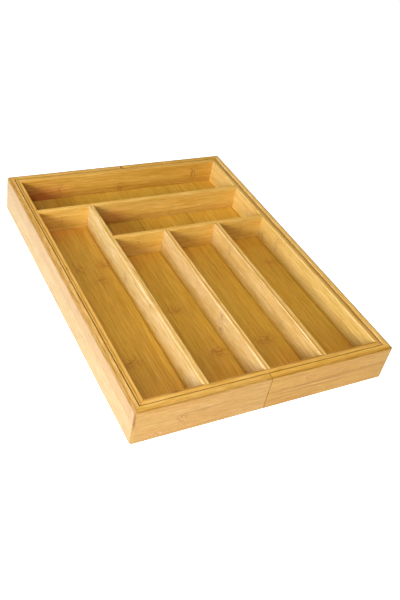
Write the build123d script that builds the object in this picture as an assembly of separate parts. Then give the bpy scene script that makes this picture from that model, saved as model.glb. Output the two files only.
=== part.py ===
from build123d import *
import os

# An extendable bamboo cutlery tray, closed. A fixed inner tray with six compartments sits
# between two wings, which are three-sided frames with a bottom. The wings slide out to the
# left and right on tongues that run in routed slots of the inner tray's front and back walls.
# Frame: millimetres, origin at the middle of the underside, +X right, +Y back, +Z up.

# Whole tray with both wings pushed in
tray_width = 340.0
tray_depth = 455.0
tray_height = 50.0

# Wing boards, which make the outside of the tray
wing_board_t = 8.5
wing_corner_round = 3.0
wing_outer_round = 2.5
wing_inner_round = 0.8
rail_end_round = 0.7
foot_round = 0.8

# Where the two wings' rails meet, a little off the middle, and the gap between their ends
front_split_x = -2.6
back_split_x = 1.2
front_split_gap = 0.4
back_split_gap = 0.8

# Wing bottoms, each a thin panel held in a groove of its three boards
wing_bottom_t = 4.0
wing_bottom_lift = 3.0
wing_groove_depth = 4.0

# How far each wing pulls out, and its running clearances to the inner tray
wing_travel = 120.0
side_gap = 0.8
front_gap = 1.0
back_gap = 0.2
slide_clearance = 0.5

# Inner tray walls
inner_wall_t = 7.5
inner_drop = 0.8
inner_round = 1.2
wall_outer_round = 0.8

# Inner floor panel, held in a groove all round the walls
floor_t = 5.0
floor_lip = 2.7
floor_groove_depth = 3.5
panel_play = 0.2

# Compartments and the boards between them
back_row_depth = 69.3
second_row_depth = 70.0
cross_divider_t = 7.0
long_divider_t = 8.0
housing_depth = 2.0
glue_gap = 0.1

# Guide tongues glued into the wing rails, and the slots that they run in
tongue_length = 24.0
tongue_height = 6.0
tongue_seat = 3.0
tongue_reach = 2.5
tongue_setback = 8.0
tongue_lift = 28.0
slot_play = 0.3

# How far cutting shapes run past the faces that they cut
overrun = 5.0

LEFT, RIGHT = -1, 1
FRONT, BACK = -1, 1

# Heights, from the wing bottoms up to the inner tray's rim
wing_bottom_top = wing_bottom_lift + wing_bottom_t
inner_base = wing_bottom_top + slide_clearance
inner_top = tray_height - inner_drop
floor_under = inner_base + floor_lip
floor_top = floor_under + floor_t

# Half sizes of the outer frame and of the inner tray, outside and inside
wing_half_w = tray_width / 2
wing_half_d = tray_depth / 2
inner_half_w = wing_half_w - wing_board_t - side_gap
inner_half_d = wing_half_d - wing_board_t - (front_gap + back_gap) / 2
room_half_w = inner_half_w - inner_wall_t
room_half_d = inner_half_d - inner_wall_t
inner_set_back = (front_gap - back_gap) / 2

# Faces of the two cross dividers, from the back row forwards
back_divider_rear = room_half_d - back_row_depth
back_divider_fore = back_divider_rear - cross_divider_t
mid_divider_rear = back_divider_fore - second_row_depth
mid_divider_fore = mid_divider_rear - cross_divider_t

# Middles of the three long dividers, which part the width into four equal columns
long_names = ("left", "centre", "right")
columns = len(long_names) + 1
column_width = (2 * room_half_w - len(long_names) * long_divider_t) / columns
column_pitch = column_width + long_divider_t
left_x, centre_x, right_x = [column_pitch * (i + 1 - columns / 2) for i in range(len(long_names))]


def block(x_pair, y_pair, z_pair):
    """A box between two values on each axis."""
    corner = Pos(min(x_pair), min(y_pair), min(z_pair))
    sizes = [abs(b - a) for a, b in (x_pair, y_pair, z_pair)]
    return corner * Box(*sizes, align=(Align.MIN, Align.MIN, Align.MIN))


def rounded_ring(half_w, half_d, wall, z_pair, corner, outer, inner, foot):
    """Four walls in one ring, with rounded vertical corners, rim and foot."""
    ring = block((-half_w, half_w), (-half_d, half_d), z_pair)
    if corner:
        ring = fillet(ring.edges().filter_by(Axis.Z), corner)
    ring = fillet(ring.faces().sort_by(Axis.Z)[-1].edges(), outer)
    ring = fillet(ring.faces().sort_by(Axis.Z)[0].edges(), foot)
    room_w = half_w - wall
    room_d = half_d - wall
    ring -= block((-room_w, room_w), (-room_d, room_d), (z_pair[0] - overrun, z_pair[1] + overrun))
    rim = ring.faces().sort_by(Axis.Z)[-1].inner_wires()[0].edges()
    return fillet(rim, inner)


def mitre_prism(half_w, half_d, wall, side, along_y, z_pair):
    """The space of one board of a ring, cut at 45 degrees through both outer corners."""
    far_w = half_w + overrun
    far_d = half_d + overrun
    near_w = half_w - wall - overrun
    near_d = half_d - wall - overrun
    if along_y:
        outside = [(side * far_w, -far_d), (side * far_w, far_d)]
        inside = [(side * near_w, near_d), (side * near_w, -near_d)]
    else:
        outside = [(-far_w, side * far_d), (far_w, side * far_d)]
        inside = [(near_w, side * near_d), (-near_w, side * near_d)]
    outline = make_face(Polyline(*outside, *inside, close=True))
    height = z_pair[1] - z_pair[0] + 2 * overrun
    return Pos(0, 0, z_pair[0] - overrun) * extrude(outline, amount=height, dir=(0, 0, 1))


def panel_groove(room_w, room_d, depth, z_pair):
    """The cut that runs into all four walls and takes a panel's edges."""
    return block((-room_w - depth, room_w + depth), (-room_d - depth, room_d + depth), z_pair)


def stadium(x_pair, y_pair, z_mid, height):
    """A bar along X with half-round ends, as a router bit leaves them."""
    length = abs(x_pair[1] - x_pair[0])
    outline = Plane.XZ * SlotOverall(length, height)
    bar = extrude(outline, amount=abs(y_pair[1] - y_pair[0]), dir=(0, 1, 0))
    return Pos((x_pair[0] + x_pair[1]) / 2, min(y_pair), z_mid) * bar


def tongue(side, end):
    """A guide tongue, half in its wing rail and half in the inner tray's slot."""
    x_pair = (side * tongue_setback, side * (tongue_setback + tongue_length))
    rail_face = wing_half_d - wing_board_t
    wall_face = inner_half_d + end * inner_set_back
    y_pair = (end * (rail_face + tongue_seat), end * (wall_face - tongue_reach))
    return stadium(x_pair, y_pair, tongue_lift, tongue_height)


def tongue_seat_cut(side, end):
    """The pocket in a wing rail that a tongue is glued into."""
    x_pair = (side * (tongue_setback - glue_gap), side * (tongue_setback + tongue_length + glue_gap))
    rail_face = wing_half_d - wing_board_t
    y_pair = (end * (rail_face + tongue_seat + glue_gap), end * (rail_face - overrun))
    return stadium(x_pair, y_pair, tongue_lift, tongue_height + 2 * glue_gap)


def slot_cut(side, end):
    """The routed slot, as long as the tongue and its travel, that stops the wing at both ends."""
    x_near = tongue_setback - slot_play
    x_far = tongue_setback + tongue_length + wing_travel + slot_play
    y_pair = (end * (inner_half_d - tongue_reach - slot_play), end * (inner_half_d + overrun))
    return stadium((side * x_near, side * x_far), y_pair, tongue_lift, tongue_height + 2 * slot_play)


def housing(x_pair, y_pair):
    """A housing cut from the floor up through the rim, which takes the end of a divider."""
    return block(x_pair, y_pair, (floor_top, inner_top + overrun))


def divider(x_pair, y_pair, along_y):
    """An upright board on the floor with its two long top edges rounded."""
    board = block(x_pair, y_pair, (floor_top, inner_top))
    axis = Axis.Y if along_y else Axis.X
    arrises = board.edges().filter_by(axis).group_by(Axis.Z)[-1]
    return fillet(arrises, inner_round)


def faces_of(middle, thickness):
    """The two faces of a board."""
    return (middle - thickness / 2, middle + thickness / 2)


def widened(middle, thickness):
    """The two faces of a housing for a board of this thickness."""
    return faces_of(middle, thickness + 2 * glue_gap)


nodes = {}

# Inner tray, built about its own middle: four mitred walls cut from one rounded ring
inner_z = (inner_base, inner_top)
walls = rounded_ring(
    inner_half_w,
    inner_half_d,
    inner_wall_t,
    inner_z,
    0,
    wall_outer_round,
    inner_round,
    foot_round,
)
walls -= panel_groove(room_half_w, room_half_d, floor_groove_depth, (floor_under - panel_play, floor_top))
for side in (LEFT, RIGHT):
    for end in (FRONT, BACK):
        walls -= slot_cut(side, end)

# Housings for the dividers in the walls
back_divider_y = (back_divider_rear + back_divider_fore) / 2
mid_divider_y = (mid_divider_rear + mid_divider_fore) / 2
housed_half_w = room_half_w + housing_depth
housed_half_d = room_half_d + housing_depth
walls -= housing((-housed_half_w, housed_half_w), widened(back_divider_y, cross_divider_t))
walls -= housing((0, housed_half_w), widened(mid_divider_y, cross_divider_t))
for x in (left_x, centre_x, right_x):
    walls -= housing(widened(x, long_divider_t), (-housed_half_d, 0))

for name, side in (("inner_left_wall", LEFT), ("inner_right_wall", RIGHT)):
    nodes[name] = walls & mitre_prism(inner_half_w, inner_half_d, inner_wall_t, side, True, inner_z)
for name, end in (("inner_front_wall", FRONT), ("inner_back_wall", BACK)):
    nodes[name] = walls & mitre_prism(inner_half_w, inner_half_d, inner_wall_t, end, False, inner_z)

# Inner floor: one panel with its edges in the walls' groove
floor_half_w = room_half_w + floor_groove_depth - panel_play
floor_half_d = room_half_d + floor_groove_depth - panel_play
nodes["inner_floor_panel"] = block(
    (-floor_half_w, floor_half_w), (-floor_half_d, floor_half_d), (floor_under, floor_top)
)

# Dividers, each let into its neighbours by the depth of a housing less the glue line
let_in = housing_depth - glue_gap
left_divider_face = left_x + long_divider_t / 2
right_end = room_half_w + let_in
front_end = -room_half_d - let_in

# The back one crosses the whole tray and takes the end of the left long divider
back_cross = divider((-right_end, right_end), (back_divider_fore, back_divider_rear), False)
back_housing_y = (back_divider_fore - overrun, back_divider_fore + housing_depth)
back_cross -= housing(widened(left_x, long_divider_t), back_housing_y)
nodes["back_cross_divider"] = back_cross

# The left long divider takes the end of the middle cross divider
left_long = divider(faces_of(left_x, long_divider_t), (front_end, back_divider_fore + let_in), True)
left_housing_x = (left_divider_face - housing_depth, left_divider_face + overrun)
left_long -= housing(left_housing_x, widened(mid_divider_y, cross_divider_t))
nodes["left_long_divider"] = left_long

# The middle cross divider takes the ends of the other two long dividers
mid_cross = divider((left_divider_face - let_in, right_end), (mid_divider_fore, mid_divider_rear), False)
mid_housing_y = (mid_divider_fore - overrun, mid_divider_fore + housing_depth)
for name, x in (("centre_long_divider", centre_x), ("right_long_divider", right_x)):
    mid_cross -= housing(widened(x, long_divider_t), mid_housing_y)
    nodes[name] = divider(faces_of(x, long_divider_t), (front_end, mid_divider_fore + let_in), True)
nodes["middle_cross_divider"] = mid_cross

# The inner tray sits nearer to the back rails than to the front ones
for name in nodes:
    nodes[name] = Pos(0, inner_set_back, 0) * nodes[name]

# Wings: one rounded ring, split near the middle and mitred into a side board and two rails each
ring = rounded_ring(
    wing_half_w,
    wing_half_d,
    wing_board_t,
    (0, tray_height),
    wing_corner_round,
    wing_outer_round,
    wing_inner_round,
    foot_round,
)
wing_room_w = wing_half_w - wing_board_t
wing_room_d = wing_half_d - wing_board_t
wing_groove_z = (wing_bottom_lift - panel_play, wing_bottom_top)
wing_groove = panel_groove(wing_room_w, wing_room_d, wing_groove_depth, wing_groove_z)
wing_z = (0, tray_height)
bottom_half_w = wing_room_w + wing_groove_depth - panel_play
bottom_half_d = wing_room_d + wing_groove_depth - panel_play

for word, side in (("left", LEFT), ("right", RIGHT)):
    side_space = mitre_prism(wing_half_w, wing_half_d, wing_board_t, side, True, wing_z)
    nodes[word + "_side_board"] = (ring - wing_groove) & side_space

    # How far out from the middle the front and the back rail start
    starts = (side * front_split_x + front_split_gap / 2, side * back_split_x + back_split_gap / 2)
    for place, end, start in (("front", FRONT, starts[0]), ("back", BACK, starts[1])):
        # A quarter of the ring, whose end at the split is rounded all round
        quarter_x = (side * start, side * (wing_half_w + overrun))
        quarter_y = (0, end * (wing_half_d + overrun))
        quarter = ring & block(quarter_x, quarter_y, (-overrun, tray_height + overrun))
        rail_end = quarter.faces().group_by(Axis.X)[0 if side == RIGHT else -1]
        quarter = fillet(rail_end.edges(), rail_end_round) - wing_groove

        # Its rail, with the pocket that the tongue is glued into
        rail_space = mitre_prism(wing_half_w, wing_half_d, wing_board_t, end, False, wing_z)
        rail = quarter & rail_space
        nodes[word + "_" + place + "_rail"] = rail - tongue_seat_cut(side, end)
        nodes[word + "_" + place + "_tongue"] = tongue(side, end)

    # The bottom ends flush with the shorter of the two rails
    nodes[word + "_bottom_panel"] = block(
        (side * max(starts), side * bottom_half_w),
        (-bottom_half_d, bottom_half_d),
        (wing_bottom_lift, wing_bottom_top),
    )

os.makedirs("parts", exist_ok=True)
for name, shape in nodes.items():
    export_step(shape, "parts/" + name + ".step")
print(len(nodes), "nodes")
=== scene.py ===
import math

import bpy
from mathutils import Matrix, Vector


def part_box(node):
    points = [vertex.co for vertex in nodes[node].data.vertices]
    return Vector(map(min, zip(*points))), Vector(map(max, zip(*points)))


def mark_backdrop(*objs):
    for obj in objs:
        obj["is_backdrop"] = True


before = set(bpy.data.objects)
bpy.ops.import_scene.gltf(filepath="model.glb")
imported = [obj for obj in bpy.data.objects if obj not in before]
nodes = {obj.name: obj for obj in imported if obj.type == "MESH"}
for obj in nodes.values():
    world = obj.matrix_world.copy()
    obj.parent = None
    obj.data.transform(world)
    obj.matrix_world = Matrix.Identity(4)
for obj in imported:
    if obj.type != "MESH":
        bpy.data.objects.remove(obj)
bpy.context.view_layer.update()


# Floor panel of the inner tray: bamboo strips about 20 mm wide, glued edge to edge into one
# flat panel with the grain from front to back, sanded and lacquered. It is held loose in a
# groove that runs round the inside of the four walls.


mm = 1000.0  # millimetres in a metre
fade = math.exp(-1)  # what a bell curve has fallen to at one half width


class Finish:
    """One material and the nodes of its pattern. Each method adds a node and returns its output."""

    def __init__(self, name):
        self.material = bpy.data.materials.new(name)
        self.material.use_nodes = True
        self.tree = self.material.node_tree
        self.shader = self.tree.nodes["Principled BSDF"]
        place = self.add("ShaderNodeTexCoord")
        self.at = self.split(self.vector("SCALE", place.outputs["Object"], scale=mm))
        self.facing = self.split(place.outputs["Normal"])

    def add(self, kind, **settings):
        node = self.tree.nodes.new(kind)
        for key, value in settings.items():
            setattr(node, key, value)
        return node

    def put(self, socket, value):
        if isinstance(value, bpy.types.NodeSocket):
            self.tree.links.new(value, socket)
        else:
            socket.default_value = value

    def calc(self, operation, *values, clamp=False):
        node = self.add("ShaderNodeMath", operation=operation, use_clamp=clamp)
        for socket, value in zip(node.inputs, values):
            self.put(socket, value)
        return node.outputs[0]

    def vector(self, operation, *values, scale=None):
        node = self.add("ShaderNodeVectorMath", operation=operation)
        for socket, value in zip(node.inputs, values):
            self.put(socket, value)
        if scale is not None:
            node.inputs["Scale"].default_value = scale
        return node.outputs["Value" if operation == "DOT_PRODUCT" else "Vector"]

    def split(self, vector):
        node = self.add("ShaderNodeSeparateXYZ")
        self.put(node.inputs[0], vector)
        return dict(zip("xyz", node.outputs))

    def join(self, x, y, z=0.0):
        node = self.add("ShaderNodeCombineXYZ")
        for socket, value in zip(node.inputs, (x, y, z)):
            self.put(socket, value)
        return node.outputs[0]

    def noise(self, vector, detail=2.0, roughness=0.5):
        """Soft random values about 0.5, with features one unit wide."""
        node = self.add("ShaderNodeTexNoise")
        self.put(node.inputs["Vector"], vector)
        for key, value in (("Scale", 1.0), ("Detail", detail), ("Roughness", roughness)):
            node.inputs[key].default_value = value
        return node.outputs[0]

    def chance(self, step, seed):
        """A random number from 0 to 1 for each whole number of the step."""
        node = self.add("ShaderNodeTexWhiteNoise", noise_dimensions="2D")
        self.put(node.inputs["Vector"], self.join(step, seed))
        return node.outputs["Value"]

    def ease(self, value, low, high, start=0.0, end=1.0):
        """A smooth step from start to end while the value goes from low to high."""
        node = self.add("ShaderNodeMapRange", interpolation_type="SMOOTHSTEP")
        for socket, number in zip(node.inputs, (value, low, high, start, end)):
            self.put(socket, number)
        return node.outputs[0]

    def blend(self, factor, a, b, mode="MIX"):
        node = self.add("ShaderNodeMix", data_type="RGBA", blend_type=mode, clamp_factor=False)
        sockets = [s for s in node.inputs if s.enabled]
        for socket, value in zip(sockets, (factor, a, b)):
            self.put(socket, value)
        return [s for s in node.outputs if s.enabled][0]

    def tint(self, factor, colour, gain):
        """The colour, multiplied by a gain as far as the factor says."""
        return self.blend(factor, colour, self.blend(1.0, colour, (*gain, 1.0), "MULTIPLY"))


def times(colour, gain):
    """One colour multiplied by another, with an alpha of 1."""
    return (*(c * g for c, g in zip(colour, gain)), 1.0)


def bamboo(
    name, along, across, through, seed, pale, strip=20.0, shift=0.0, grain=1.0, length=1.0,
    cloudy=1.0, knuckles=(), ring=1.0, smudge=0.18, mark=(0.50, 0.36, 0.62), streaks=(), bands=(),
    patches=(), pits_and_painted_shade=(), inside=0.0, gap_painted_colour=None, rim=None, glint=(1.0, 1.0, 1.0), plies_and_painted_shade=(),
    painted_underside_light=(1.3, 1.4, 1.9), mitre=None, gloss=0.5,
):
    """Lacquered bamboo for one board, from its object coordinates in millimetres.

    Along, across and through name the axes of the grain, of the face and of the thickness.
    Strip and shift are the width and the start of the strips. The tone is a random step for
    each strip plus noises that are drawn out along the grain, and it blends a deeper, riper
    colour into the pale one. Knuckles, streaks and patches are bell curves in along and
    across: (place along, place across, half length, half width, strength or colour); some
    patches are painted light and shade. Bands are stretches of the width in another colour,
    and some of them painted shade. The rim is the colour of the narrow upper edge, the plies
    are the glue lines that show there, with some lines of painted shade among them, and the
    pits are dark flecks in it, with some lines of painted shade. Inside is the side, -1 or 1,
    that faces the gap between tray and wings, and lining its colour, which is painted light and
    shade. Grain and length scale the pattern's strength and its reach along the grain, cloudy
    only its widest parts, and ring the knuckles' rings. Smudge and mark are the knuckles'
    evenness and colour. The upper arris on the left takes the colour glint, a painted highlight
    where it is above one, and the lowest faces the painted lighter colour foot. Mitre is the
    ring that a mitred board closes with others, and gloss is how much the lacquer reflects.
    """
    f = Finish(name)
    a, b, c = f.at[along], f.at[across], f.at[through]
    light = times(pale, (1.0, 1.01, 1.13))
    deep = times(pale, (0.686, 0.595, 0.25))
    fibre = times(deep, (0.45, 0.45, 0.45))
    glue = times(deep, (0.35, 0.35, 0.35))
    sway_width, strip_tone, slide_length = 3.0, 0.16, 170.0

    # Strips, whose grain sways a little and starts at a place of its own
    sway = f.noise(f.join(f.calc("MULTIPLY", a, 0.012), f.calc("MULTIPLY", b, 0.04), seed), 1.0)
    bent = f.calc("MULTIPLY_ADD", sway, sway_width, b)
    count = f.calc("DIVIDE", f.calc("ADD", b, shift), strip)
    rand = f.chance(f.calc("FLOOR", count), seed)
    slid = f.calc("MULTIPLY_ADD", rand, slide_length, a)
    deep_in = f.calc("ADD", c, seed)

    # Bands, streaks, fibres and hairs: how close along and across the grain, and how strong
    tone = f.calc("MULTIPLY_ADD", f.calc("SUBTRACT", rand, 0.5), strip_tone, 0.5)
    layers = (
        (0.006, 0.13, 0.70 * cloudy), (0.013, 0.36, 0.90 * cloudy), (0.045, 0.85, 2.50), (0.110, 2.20, 2.40),
    )
    values = []
    for close_along, close_across, strength in layers:
        where = f.join(
            f.calc("MULTIPLY", slid, close_along / length),
            f.calc("MULTIPLY", bent, close_across),
            f.calc("MULTIPLY", deep_in, close_across),
        )
        values.append(f.noise(where, 1.5, 0.55))
        tone = f.calc("MULTIPLY_ADD", f.calc("SUBTRACT", values[-1], 0.5), strength * grain, tone)
    colour = f.blend(tone, deep, light)

    # A slow change from a pinker to a yellower lacquer, in long clouds
    cloud = f.noise(f.join(f.calc("MULTIPLY", a, 0.011), f.calc("MULTIPLY", b, 0.06), deep_in), 1.5)
    pinker, yellower = (0.985, 0.945, 0.87, 1.0), (1.015, 1.05, 1.13, 1.0)
    flush = f.blend(f.ease(cloud, 0.25, 0.75), pinker, yellower)
    colour = f.blend(1.0, colour, flush, "MULTIPLY")

    # Dark bundles of fibre, each a short dash
    dash_at = f.join(
        f.calc("MULTIPLY", slid, 0.07), f.calc("MULTIPLY", bent, 1.9), f.calc("MULTIPLY", deep_in, 1.9)
    )
    dashes = f.ease(f.noise(dash_at, 0.0), 0.62, 0.78)
    dash_strength = 0.30 * grain
    colour = f.blend(f.calc("MULTIPLY", dashes, dash_strength), colour, fibre)

    # Glue lines between the strips
    seam = f.calc("ABSOLUTE", f.calc("SUBTRACT", f.calc("FRACT", count), 0.5))
    seam_half, seam_strength = 0.30, 0.28
    seam = f.ease(seam, 0.5 - seam_half / strip, 0.5)
    colour = f.blend(f.calc("MULTIPLY", seam, seam_strength), colour, fibre)

    # Bands: (from, to, colour), with soft edges
    soft = 3.0
    for low, high, gain in bands:
        above = f.ease(bent, low - soft, low + soft)
        within = f.calc("MULTIPLY", above, f.ease(bent, high - soft, high + soft, 1.0, 0.0))
        colour = f.tint(within, colour, gain)

    def bell(spots):
        """The largest of strength times exp(-(da/la)^2 - (db/lb)^2), over all the spots."""
        total = None
        face = f.join(a, bent)
        for at_a, at_b, half_a, half_b, strength in spots:
            away = f.vector("SUBTRACT", face, (at_a, at_b + sway_width / 2, 0.0))
            away = f.vector("MULTIPLY", away, (1 / half_a, 1 / half_b, 0.0))
            far = f.vector("DOT_PRODUCT", away, away)
            one = f.calc("MULTIPLY", f.calc("POWER", fade, far), strength)
            total = one if total is None else f.calc("MAXIMUM", total, one)
        return total

    # Knuckles: a brown smudge, crossed by thin wavy rings, which are the level lines of a noise
    if knuckles:
        swirl = f.join(f.calc("MULTIPLY", a, 0.17 / ring), f.calc("MULTIPLY", bent, 0.15 / ring), deep_in)
        swirl = f.noise(swirl, 1.0)
        ripple = f.calc("FRACT", f.calc("MULTIPLY", swirl, 4.5))
        ripple = f.calc("ABSOLUTE", f.calc("SUBTRACT", ripple, 0.5))
        near = bell(knuckles)
        lit = f.calc("MULTIPLY", near, f.ease(ripple, 0.26, 0.42, 0.0, 0.45))
        colour = f.blend(lit, colour, times(pale, (1.15, 1.20, 1.35)))
        marked = f.calc("MULTIPLY", near, f.ease(ripple, 0.06, 0.26, 0.85, smudge))
        colour = f.blend(marked, colour, times(deep, mark))

    # Streaks: long brown lines along the grain
    if streaks:
        worn = f.calc("MULTIPLY", bell(streaks), f.ease(values[1], 0.30, 0.60, 0.45, 1.0))
        colour = f.blend(worn, colour, times(deep, (0.60, 0.46, 0.60)))

    # Patches: soft spots in another colour, which stay off the faces in the gap; some are real
    # marks, the rest painted light and shade
    turned = f.ease(f.calc("MULTIPLY", f.facing[through], inside), 0.50, 0.90)
    for at_a, at_b, half_a, half_b, gain in patches:
        cover = bell([(at_a, at_b, half_a, half_b, 1.0)])
        cover = f.calc("MULTIPLY", cover, f.calc("SUBTRACT", 1.0, turned))
        colour = f.tint(cover, colour, gain)

    # The faces in the gap have no gloss, and a colour of painted light and shade, set face by
    # face for the light that reaches them
    if inside:
        gap_painted_gain = [shade / whole for shade, whole in zip(gap_painted_colour, pale)]
        colour = f.tint(turned, colour, gap_painted_gain)
        f.put(f.shader.inputs["Specular IOR Level"], f.calc("MULTIPLY_ADD", turned, -gloss, gloss))
    else:
        f.put(f.shader.inputs["Specular IOR Level"], gloss)

    # The narrow edges, with a line at (place, half width, colour) for each entry of plies: glue
    # lines between the plies, other darker or lighter lines, and on the front wall lines of
    # painted shade
    if rim:
        edge = f.ease(f.facing["z"], 0.86, 0.995)
        colour = f.tint(edge, colour, rim)
        for place, half, gain in plies_and_painted_shade:
            off = f.calc("DIVIDE", f.calc("SUBTRACT", c, place), half)
            line = f.calc("POWER", fade, f.calc("MULTIPLY", off, off))
            line = f.calc("MULTIPLY", f.calc("MULTIPLY", line, edge), f.ease(values[0], 0.2, 0.7, 0.75, 1.0))
            colour = f.tint(line, colour, gain)

        # The rounded upper arrises get painted shade, except where they face left and take the glint
        # colour, a painted highlight on some pieces; faces turned down get a painted lighter colour
        arris = f.ease(f.facing["z"], 0.80, 0.97, 1.0, 0.0)
        arris = f.calc("MULTIPLY", arris, f.ease(f.facing["z"], 0.10, 0.45))
        leftward = f.ease(f.facing["x"], -0.50, -0.10, 1.0, 0.0)
        shade = f.blend(leftward, (0.90, 0.87, 0.82, 1.0), (*glint, 1.0))
        colour = f.blend(arris, colour, f.blend(1.0, colour, shade, "MULTIPLY"))
        under = f.ease(f.facing["z"], -0.45, -0.03, 1.0, 0.0)
        colour = f.tint(under, colour, painted_underside_light)

    # Pits: (along, through, half length, half width, strength), on the upper edge: dark flecks,
    # and on the back rails lines of painted shade
    for at_a, at_c, half_a, half_c, strength in pits_and_painted_shade:
        away = f.vector("SUBTRACT", f.join(a, c), (at_a, at_c, 0.0))
        away = f.vector("MULTIPLY", away, (1 / half_a, 1 / half_c, 0.0))
        hole = f.calc("POWER", fade, f.vector("DOT_PRODUCT", away, away))
        hole = f.calc("MULTIPLY", hole, f.ease(f.facing["z"], 0.1, 0.5, 0.0, strength))
        colour = f.blend(hole, colour, times(deep, (0.40, 0.22, 0.25)))

    # Cut ends: darker, with the fibre bundles as dots
    end_grain = f.ease(f.calc("ABSOLUTE", f.facing[along]), 0.80, 0.95)
    dots = f.noise(f.join(f.calc("MULTIPLY", b, 1.3), f.calc("MULTIPLY", c, 1.3), seed), 1.0)
    pith, bundle = (0.86, 0.80, 0.70, 1.0), (0.60, 0.48, 0.36, 1.0)
    cut = f.blend(f.ease(dots, 0.40, 0.65), pith, bundle)
    colour = f.blend(end_grain, colour, f.blend(1.0, colour, cut, "MULTIPLY"))

    # Mitres: a thin dark glue line where the distances to both outer faces are equal, and
    # painted shade on the rounded corner, to keep it from catching the light
    if mitre:
        middle, halves = mitre
        from_side = f.calc("SUBTRACT", halves[0], f.calc("ABSOLUTE", f.at["x"]))
        from_end = f.calc("ABSOLUTE", f.calc("SUBTRACT", f.at["y"], middle))
        from_end = f.calc("SUBTRACT", halves[1], from_end)
        off = f.calc("ABSOLUTE", f.calc("SUBTRACT", from_side, from_end))
        line = f.ease(off, 0.05, 0.45, 0.45, 0.0)
        colour = f.blend(line, colour, glue)
        corner = f.calc("ABSOLUTE", f.calc("MULTIPLY", f.facing["x"], f.facing["y"]))
        colour = f.tint(f.ease(corner, 0.20, 0.48), colour, (0.84, 0.79, 0.72))

    f.put(f.shader.inputs["Base Color"], colour)
    mean_rough, rough_range = 0.46, 0.25
    rough = f.calc("MULTIPLY_ADD", f.calc("SUBTRACT", values[2], 0.5), rough_range, mean_rough)
    f.put(f.shader.inputs["Roughness"], rough)
    bump_strength, bump_height = 0.4, 0.00015
    bump = f.add("ShaderNodeBump")
    bump.inputs["Strength"].default_value = bump_strength
    bump.inputs["Distance"].default_value = bump_height
    height = f.calc("MULTIPLY_ADD", values[2], 0.8, f.calc("MULTIPLY_ADD", seam, -0.6, values[3]))
    height = f.calc("MULTIPLY_ADD", dashes, -0.5, height)
    f.put(bump.inputs["Height"], height)
    f.put(f.shader.inputs["Normal"], bump.outputs[0])
    return f.material


def dress(node, material):
    """Gives a CAD node its material."""
    nodes[node].data.materials.clear()
    nodes[node].data.materials.append(material)


floor_pale = (0.676, 0.376, 0.0435)
floor_knuckles = [
    (-142.0, -18.0, 8.0, 13.0, 0.95), (-59.5, -39.0, 7.0, 12.0, 0.80), (-140.0, 48.0, 8.0, 13.0, 0.90),
    (18.0, -107.0, 7.0, 11.0, 0.75), (49.0, -90.0, 8.0, 9.0, 0.95), (46.0, -124.0, 9.0, 9.0, 0.65),
    (-131.0, -127.0, 8.0, 12.0, 0.90), (-2.0, 140.0, 6.0, 13.0, 0.55), (182.0, 61.0, 5.0, 12.0, 0.45),
    (104.0, 22.0, 5.0, 12.0, 0.45),
]
# The floor's patches are all painted light and shade: a lighter, warmer strip along the front wall and a
# slightly darker one along the back; in each long compartment a lighter left part, a darker strip along its
# right side and a dark line of painted shadow at the foot of its right wall or divider; and a redder painted
# shade in the far left corners.
floor_painted_shading = [(176.0, 0.0, 40.0, 400.0, (0.93, 0.985, 1.0)), (-196.0, 0.0, 32.0, 400.0, (1.12, 1.0, 0.90))]
for node in ("inner_left_wall", "left_long_divider", "centre_long_divider", "right_long_divider"):
    left_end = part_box(node)[1][0] * mm
    floor_painted_shading += [
        (-75.0, left_end + 23.0, 170.0, 31.0, (1.28, 1.25, 1.02)),
        (-60.0, left_end + 66.0, 200.0, 12.0, (0.90, 0.92, 0.74)),
        (-60.0, left_end + 69.9, 400.0, 1.1, (0.70, 0.62, 0.52)),
    ]
floor_painted_shading += [
    (158.0, -125.0, 30.0, 48.0, (1.20, 0.85, 1.10)), (98.0, -58.0, 26.0, 30.0, (1.06, 0.88, 0.96)),
    (132.0, -141.0, 26.0, 20.0, (0.96, 0.84, 1.0)), (55.0, -60.0, 26.0, 20.0, (0.96, 0.84, 1.0)),
    (55.0, 18.0, 26.0, 20.0, (0.94, 0.80, 1.0)), (55.0, 98.0, 26.0, 20.0, (0.96, 0.84, 1.0)),
]
floor_streaks = [
    (-176.0, 57.0, 26.0, 0.5, 0.55), (-178.0, 124.0, 26.0, 0.5, 0.45), (-80.0, -92.0, 90.0, 0.5, 0.50),
    (-110.0, -97.0, 90.0, 0.6, 0.45), (0.0, -22.0, 70.0, 0.5, 0.40), (40.0, -107.0, 40.0, 0.5, 0.40),
]
dress("inner_floor_panel", bamboo(
    "strip_panel", "y", "x", "z", 3.0, floor_pale,
    strip=20.0, shift=4.0, grain=0.78, length=2.5, cloudy=0.6, knuckles=floor_knuckles, ring=1.5,
    smudge=0.40, mark=(0.72, 0.45, 0.68), streaks=floor_streaks, patches=floor_painted_shading,
))


# Inner walls: four boards of two bamboo plies glued face to face, mitred at the corners, with
# the grain running round the tray. Their rims are rounded and a shade lower than the wings.
wall_pale, wall_rim, back_rim = (0.670, 0.375, 0.0600), (1.19, 1.20, 1.60), (1.12, 1.13, 1.46)
# The right wall takes the dividers' colour, painted light and shade for the strong light on its left face:
# darker in red than the other walls and paler in blue.
right_pale, right_rim = (0.609, 0.408, 0.135), (1.43, 1.37, 1.36)


def ring_of(left, right, front, back):
    """The middle along y and the half sizes, in millimetres, of the ring that four boards close."""
    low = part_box(front)[0][1] * mm
    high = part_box(back)[1][1] * mm
    wide = (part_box(right)[1][0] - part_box(left)[0][0]) * mm
    return (low + high) / 2, (wide / 2, (high - low) / 2)


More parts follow.
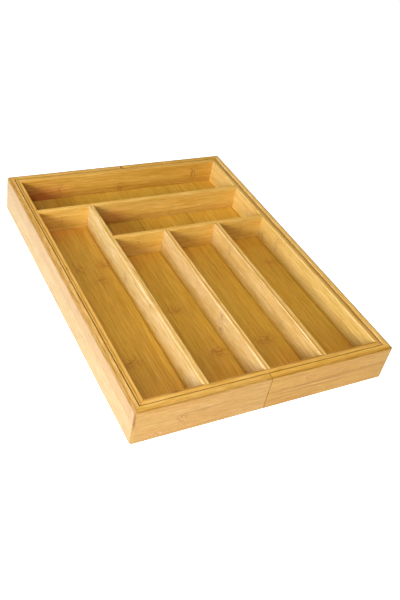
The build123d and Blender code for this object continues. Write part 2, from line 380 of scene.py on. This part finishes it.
inner_ring = ring_of("inner_left_wall", "inner_right_wall", "inner_front_wall", "inner_back_wall")
# The colours of the wall faces in the gap are painted light and shade.
gap_painted_colours = {
    "inner_left_wall": (0.48, 0.31, 0.11), "inner_right_wall": (0.60, 0.36, 0.10),
    "inner_front_wall": (0.68, 0.42, 0.13), "inner_back_wall": (0.56, 0.38, 0.14),
}
# A painted highlight for the upper arrises that face left, on the right wall and the long dividers.
left_glint = (1.10, 1.14, 1.25)
wall_pits = {
    "inner_front_wall": [(-116.4, -210.9, 4.4, 1.9, 1.0)],
    "inner_left_wall": [(12.7, -157.5, 3.0, 1.0, 0.70)],
}
for node, along, through, inside, seed, pale, rim, plies_and_painted_shade, knuckles in (
    ("inner_left_wall", "y", "x", -1.0, 11.0, wall_pale, wall_rim,
     [(-158.2, 0.9, (0.50, 0.43, 0.32)), (-160.1, 0.7, (1.10, 1.12, 1.15))],
     [(-45.0, 32.0, 4.0, 8.0, 0.4), (150.0, 26.0, 4.0, 8.0, 0.3)]),
    ("inner_right_wall", "y", "x", 1.0, 12.0, right_pale, right_rim,
     [(158.8, 2.3, (0.60, 0.46, 0.16))],
     [(11.0, 34.0, 4.5, 10.0, 0.85), (47.0, 26.0, 7.0, 7.0, 0.70), (-150.0, 36.0, 4.0, 7.0, 0.50)]),
    ("inner_front_wall", "x", "y", -1.0, 13.0, wall_pale, wall_rim,
     # On the front wall both lines are painted shade: along the rounded inner arris and along the gap.
     [(-212.1, 1.3, (0.52, 0.42, 0.25)), (-218.3, 0.5, (0.7, 0.6, 0.5))],
     [(60.0, 30.0, 4.0, 8.0, 0.6)]),
    ("inner_back_wall", "x", "y", 1.0, 14.0, wall_pale, back_rim, [(218.4, 0.7, (0.8, 0.74, 0.64))],
     [(122.0, 34.0, 7.0, 10.0, 0.90), (-2.0, 22.5, 5.0, 8.0, 0.90), (-96.0, 30.0, 4.0, 8.0, 0.5)]),
):
    dress(node, bamboo(
        node, along, "z", through, seed, pale, strip=24.0, shift=19.0, grain=0.72, length=1.6,
        cloudy=0.7 if node == "inner_right_wall" else 0.9, knuckles=knuckles,
        # On the right wall, the band along the foot, redder and less blue, is the painted colour of the shade
        # there.
        bands=[(0.0, 22.0, (1.12, 1.06, 0.66))] if node == "inner_right_wall" else (),
        # On the back wall, a patch of painted reddish shade at the left end, where the left wall's shadow
        # falls.
        patches=[(-126.0, 21.0, 35.0, 15.0, (1.17, 0.75, 1.25))] if node == "inner_back_wall" else (),
        pits_and_painted_shade=wall_pits.get(node, ()), inside=inside, gap_painted_colour=gap_painted_colours[node], rim=rim,
        glint=left_glint if node == "inner_right_wall" else (1.0, 1.0, 1.0), plies_and_painted_shade=plies_and_painted_shade, mitre=inner_ring,
    ))


# Cross dividers: single boards of bamboo with rounded upper edges, which stand on the floor
# panel and are let 2 mm into the walls.
cross_pale, cross_rim = (0.772, 0.471, 0.103), (1.07, 1.05, 1.13)
# The patches are painted light and shade near the left ends of the compartments: a redder shade on the back
# divider and lighter left corners on the middle one.
for node, seed, knuckles, patches in (
    ("back_cross_divider", 21.0, [(-120.0, 30.0, 4.0, 8.0, 0.50), (46.0, 27.0, 4.0, 9.0, 0.50)],
     [(-45.0, 25.0, 22.0, 12.0, (1.16, 0.96, 1.10)), (-138.0, 28.0, 16.0, 14.0, (1.08, 0.95, 0.82))]),
    ("middle_cross_divider", 22.0, [(120.0, 30.0, 4.0, 8.0, 0.55), (-40.0, 38.0, 4.0, 6.0, 0.45)],
     [(x, 28.0, 14.0, 14.0, (1.16, 1.06, 1.10)) for x in (-68.0, 11.0, 90.0)]),
):
    dress(node, bamboo(
        node, "x", "z", "y", seed, cross_pale,
        strip=20.0, shift=seed * 1.7, grain=0.65, length=1.6, cloudy=0.9, knuckles=knuckles, patches=patches,
        rim=cross_rim,
    ))


# Long dividers: boards of two plies, let into the cross dividers and the front wall. Their
# colour is painted light and shade for the strong light on their left faces: darker in red
# than the cross dividers', to offset it, and paler in blue, as a brightly lit face looks.
# The glue line between the plies shows as a brown line along each upper edge.
for node, seed, pale, rim, plies_and_painted_shade, knuckles in (
    ("left_long_divider", 23.0, (0.580, 0.412, 0.198), (1.52, 1.38, 1.06),
     [(-79.0, 1.4, (0.88, 0.84, 0.78))],
     [(0.0, 28.0, 6.0, 9.0, 0.95), (-73.0, 42.0, 6.0, 4.0, 0.85), (68.0, 30.0, 9.0, 5.0, 0.55)]),
    ("centre_long_divider", 24.0, (0.543, 0.367, 0.159), (1.70, 1.60, 1.19),
     [(-0.6, 1.2, (0.66, 0.54, 0.44))],
     [(-111.0, 38.0, 4.5, 10.0, 0.95), (-117.0, 25.0, 4.5, 7.0, 0.85)]),
    ("right_long_divider", 25.0, (0.575, 0.389, 0.156), (1.60, 1.52, 1.20),
     [(76.6, 0.9, (0.45, 0.32, 0.20)), (79.0, 0.4, (0.8, 0.7, 0.6))],
     [(10.0, 37.0, 4.5, 8.0, 0.85), (-132.0, 27.0, 4.5, 7.0, 0.55)]),
):
    dress(node, bamboo(
        node, "y", "z", "x", seed, pale,
        strip=19.0, shift=seed * 1.7, grain=0.9, length=1.6, cloudy=0.85, knuckles=knuckles,
        rim=rim, glint=left_glint, plies_and_painted_shade=plies_and_painted_shade,
        # The band along the foot of each face, redder and less blue, is the painted colour of the shade
        # there.
        bands=[(0.0, 24.0, (1.15, 1.06, 0.64))],
        # On the left divider, a paler, bluer patch over the upper far part of its face is painted light.
        patches=[(70.0, 34.0, 90.0, 22.0, (1.04, 1.12, 1.26))] if node == "left_long_divider" else (),
    ))


# Wings, side boards: two bamboo plies, mitred to the rails at the outer corners and rounded.
# Their colour is less saturated than the inner walls', with a pinker strip along the top, and
# their lowest arrises are painted lighter. The left board's outer face is also darker, as
# painted shade against the strong light from the left; its rim gain brings the top back up,
# and its face in the gap is painted lighter.
wing_ring = ring_of("left_side_board", "right_side_board", "left_front_rail", "left_back_rail")
for node, inside, seed, pale, rim, plies_and_painted_shade, knuckles in (
    ("left_side_board", 1.0, 31.0, (0.336, 0.227, 0.083), (2.40, 2.31, 1.91),
     [(-168.6, 3.2, (0.66, 0.59, 0.45))],
     [(124.0, 38.0, 5.0, 7.0, 0.45), (-216.0, 40.0, 3.5, 9.0, 0.55)]),
    ("right_side_board", -1.0, 32.0, (0.480, 0.285, 0.080), (1.80, 2.06, 2.00),
     [(162.3, 0.7, (1.35, 1.45, 1.9)), (167.3, 0.9, (0.8, 0.76, 0.70))],
     [(60.0, 25.0, 5.0, 9.0, 0.75), (-130.0, 14.0, 5.0, 8.0, 0.65), (176.0, 36.0, 5.0, 8.0, 0.6)]),
):
    dress(node, bamboo(
        node, "y", "z", "x", seed, pale, strip=31.0, shift=0.0, grain=0.95,
        knuckles=knuckles, bands=[(31.0, 60.0, (0.955, 0.855, 0.77))],
        patches=[(-226.7, 38.0, 1.3, 12.0, (0.66, 0.54, 0.42))],
        inside=inside, gap_painted_colour=(0.76, 0.45, 0.14) if inside > 0 else (0.46, 0.33, 0.15), rim=rim,
        plies_and_painted_shade=plies_and_painted_shade, painted_underside_light=(2.2, 2.2, 2.5), mitre=wing_ring,
    ))


# Wings, rails: the front and back of each wing, of the same two plies, with their ends
# rounded where the two wings meet. Long brown streaks and knuckles show on the front.
left_rail_pale, left_rail_rim = (0.478, 0.282, 0.080), (1.66, 1.72, 1.62)
right_rail_pale, right_rail_rim = (0.468, 0.258, 0.0467), (1.75, 1.88, 2.28)
# A dark line of painted shade along the far, rounded edge of the back rails' tops; each back rail also has a
# short one, painted shade in the notch where the wings meet.
back_edge_painted_shade = (0.0, 226.2, 400.0, 2.4, 0.72)
for node, seed, plies_and_painted_shade, pits_and_painted_shade, knuckles, streaks, patches in (
    ("left_front_rail", 33.0, [(-224.6, 1.2, (0.80, 0.70, 0.52))], [],
     [(-112.5, 21.0, 6.5, 8.5, 0.95), (-135.0, 7.0, 9.0, 3.2, 0.95)],
     [(-88.0, 29.0, 26.0, 0.8, 0.75), (-28.0, 15.0, 26.0, 1.2, 0.45)],
     [(-112.0, 21.0, 2.2, 2.8, (1.25, 1.3, 1.4)), (-134.5, 7.4, 3.2, 1.3, (1.3, 1.4, 1.6)),
      (-148.0, 35.0, 4.0, 1.2, (1.12, 1.15, 1.25)), (-104.0, 39.0, 6.0, 1.0, (1.12, 1.15, 1.25)),
      (-76.0, 40.0, 5.0, 1.0, (1.12, 1.15, 1.25)),
      (-169.0, 38.0, 1.2, 12.0, (0.56, 0.44, 0.34)), (-168.6, 31.0, 1.2, 4.5, (0.70, 0.60, 0.55))]),
    ("right_front_rail", 34.0, [(-225.0, 1.3, (0.72, 0.60, 0.42))], [],
     [(51.7, 35.6, 5.5, 6.5, 0.95), (90.0, 7.0, 6.0, 2.0, 0.50)],
     [(60.0, 24.6, 58.0, 1.0, 1.05), (60.0, 18.8, 55.0, 0.9, 1.00), (130.0, 27.0, 60.0, 1.8, 0.60),
      (10.0, 12.5, 16.0, 1.2, 0.55)],
     [(51.7, 36.0, 2.0, 2.2, (1.2, 1.25, 1.35)), (60.0, 21.8, 50.0, 1.2, (1.05, 1.06, 1.10)),
      (145.0, 32.0, 25.0, 1.5, (1.06, 1.08, 1.15)), (140.0, 18.0, 40.0, 13.0, (1.06, 1.08, 1.10)),
      # The last patch is painted shade down the rounded right corner, which turns from the light.
      (169.2, 25.0, 1.5, 40.0, (0.78, 0.70, 0.60))]),
    ("left_back_rail", 35.0, [], [back_edge_painted_shade, (0.4, 223.0, 0.9, 5.0, 0.85)],
     [(-90.0, 26.0, 5.0, 8.0, 0.45), (-20.0, 11.0, 6.0, 3.0, 0.35)], [(-120.0, 36.0, 40.0, 1.0, 0.35)], []),
    ("right_back_rail", 36.0, [], [back_edge_painted_shade, (2.0, 223.0, 0.9, 5.0, 0.85)],
     [(60.0, 18.0, 5.0, 8.0, 0.45), (140.0, 35.0, 4.0, 6.0, 0.35)], [(80.0, 30.0, 60.0, 1.2, 0.40)], []),
):
    pale = left_rail_pale if "left" in node else right_rail_pale
    rim = left_rail_rim if "left" in node else right_rail_rim
    dress(node, bamboo(
        node, "x", "z", "y", seed, pale, strip=20.0, shift=seed * 0.9, grain=0.68,
        knuckles=knuckles, streaks=streaks, bands=[(38.0, 60.0, (0.97, 0.95, 0.88))], patches=patches,
        # The lowest arrises are painted lighter.
        pits_and_painted_shade=pits_and_painted_shade, inside=1.0 if "front" in node else -1.0, rim=rim, plies_and_painted_shade=plies_and_painted_shade, painted_underside_light=(1.1, 1.15, 1.6),
        # The colour of the faces in the gap is painted light and shade.
        gap_painted_colour=(0.80, 0.48, 0.14) if "front" in node else (0.55, 0.36, 0.12),
        mark=(0.62, 0.42, 0.52), mitre=wing_ring, gloss=0.25,
    ))


# Wing bottoms: a thin panel of bamboo strips in a groove of each wing's three boards. The
# inner tray slides over them.
for node, seed, outward in (("left_bottom_panel", 41.0, -1.0), ("right_bottom_panel", 42.0, 1.0)):
    dress(node, bamboo(
        node, "y", "x", "z", seed, floor_pale, strip=20.0, shift=7.0, grain=0.78, length=2.5, cloudy=0.6,
        ring=1.5, smudge=0.40, mark=(0.72, 0.45, 0.68),
        knuckles=[(-80.0, outward * 60.0, 5.0, 10.0, 0.45), (95.0, outward * 120.0, 5.0, 10.0, 0.45),
                  (-150.0, outward * 150.0, 5.0, 9.0, 0.40), (10.0, outward * 28.0, 5.0, 9.0, 0.40)],
    ))


# Tongues: short bamboo guides with half-round ends, glued into the rails. They run in slots
# of the inner tray's front and back walls and stop the wings at the end of their travel.
for node, seed in (
    ("left_front_tongue", 51.0), ("left_back_tongue", 52.0),
    ("right_front_tongue", 53.0), ("right_back_tongue", 54.0),
):
    dress(node, bamboo(node, "x", "z", "y", seed, left_rail_pale, strip=9.0, shift=2.0))


# Studio: white paper that glows a little, as on a lit table, and six soft lights, of which
# those from the left and the front left are by far the strongest. The surround is dim.
ground_half, light_away = 8.0, 2.0
paper_white, paper_glow, paper_rough, paper_gloss = 0.93, 0.8, 0.9, 0.1
surround_strength = 0.05


def studio_floor(half):
    """A flat square of the given half size, level with the tray's underside."""
    mesh = bpy.data.meshes.new("studio_floor")
    corners = [(-half, -half, 0.0), (half, -half, 0.0), (half, half, 0.0), (-half, half, 0.0)]
    mesh.from_pydata(corners, [], [(0, 1, 2, 3)])
    floor = bpy.data.objects.new("studio_floor", mesh)
    bpy.context.scene.collection.objects.link(floor)
    paper = bpy.data.materials.new("white_paper")
    paper.use_nodes = True
    shader = paper.node_tree.nodes["Principled BSDF"]
    shader.inputs["Base Color"].default_value = (paper_white, paper_white, paper_white, 1.0)
    shader.inputs["Roughness"].default_value = paper_rough
    shader.inputs["Specular IOR Level"].default_value = paper_gloss
    shader.inputs["Emission Color"].default_value = (1.0, 1.0, 1.0, 1.0)
    shader.inputs["Emission Strength"].default_value = paper_glow
    mesh.materials.append(paper)
    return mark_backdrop(floor)


studio_floor(ground_half)


def soft_light(name, azimuth, elevation, power, wide=0.6, high=0.6):
    """An oval area light that looks at the tray, at an azimuth clockwise from the back."""
    az, el = math.radians(azimuth), math.radians(elevation)
    toward = Vector((math.sin(az) * math.cos(el), math.cos(az) * math.cos(el), math.sin(el)))
    lamp = bpy.data.lights.new(name, "AREA")
    lamp.shape = "ELLIPSE"
    lamp.size, lamp.size_y = wide, high
    lamp.energy = power
    holder = bpy.data.objects.new(name, lamp)
    bpy.context.scene.collection.objects.link(holder)
    holder.location = toward * light_away
    holder.rotation_euler = toward.to_track_quat("Z", "Y").to_euler()
    return holder


soft_light("left_light", -90.0, 20.0, 33.6)
soft_light("front_left_light", -127.7, 20.0, 35.5, wide=1.0)
soft_light("front_light", -170.0, 22.0, 8.2)
soft_light("high_front_light", -125.0, 44.0, 7.2)
soft_light("high_back_light", -20.0, 45.0, 4.5)
soft_light("top_light", 0.0, 88.0, 10.0)

surround = bpy.data.worlds.new("surround")
surround.use_nodes = True
surround.node_tree.nodes["Background"].inputs["Color"].default_value = (1.0, 1.0, 1.0, 1.0)
surround.node_tree.nodes["Background"].inputs["Strength"].default_value = surround_strength
bpy.context.scene.world = surround
bpy.context.scene.view_settings.view_transform = "Standard"


# Camera: where the photograph was taken from, found from the tray's corners.
camera_place = (-0.43898, -0.66817, 0.63037)
camera_heading, camera_dip, camera_roll = 33.219, 39.826, 11.726
focal_px, middle_px, middle_py = 759.0, 174.22, 305.64
frame_w, frame_h, sensor = 400.0, 600.0, 36.0
lens = bpy.data.cameras.new("photo_camera")
lens.sensor_width = sensor
lens.lens = focal_px * sensor / frame_h
lens.shift_x = (frame_w / 2 - middle_px) / frame_h
lens.shift_y = (middle_py - frame_h / 2) / frame_h
lens.clip_start = 0.01
camera = bpy.data.objects.new("photo_camera", lens)
bpy.context.scene.collection.objects.link(camera)
turn = Matrix.Rotation(math.radians(-camera_heading), 4, "Z")
tilt = Matrix.Rotation(math.radians(90.0 - camera_dip), 4, "X")
roll = Matrix.Rotation(math.radians(camera_roll), 4, "Z")
camera.matrix_world = Matrix.Translation(camera_place) @ turn @ tilt @ roll
bpy.context.scene.camera = camera
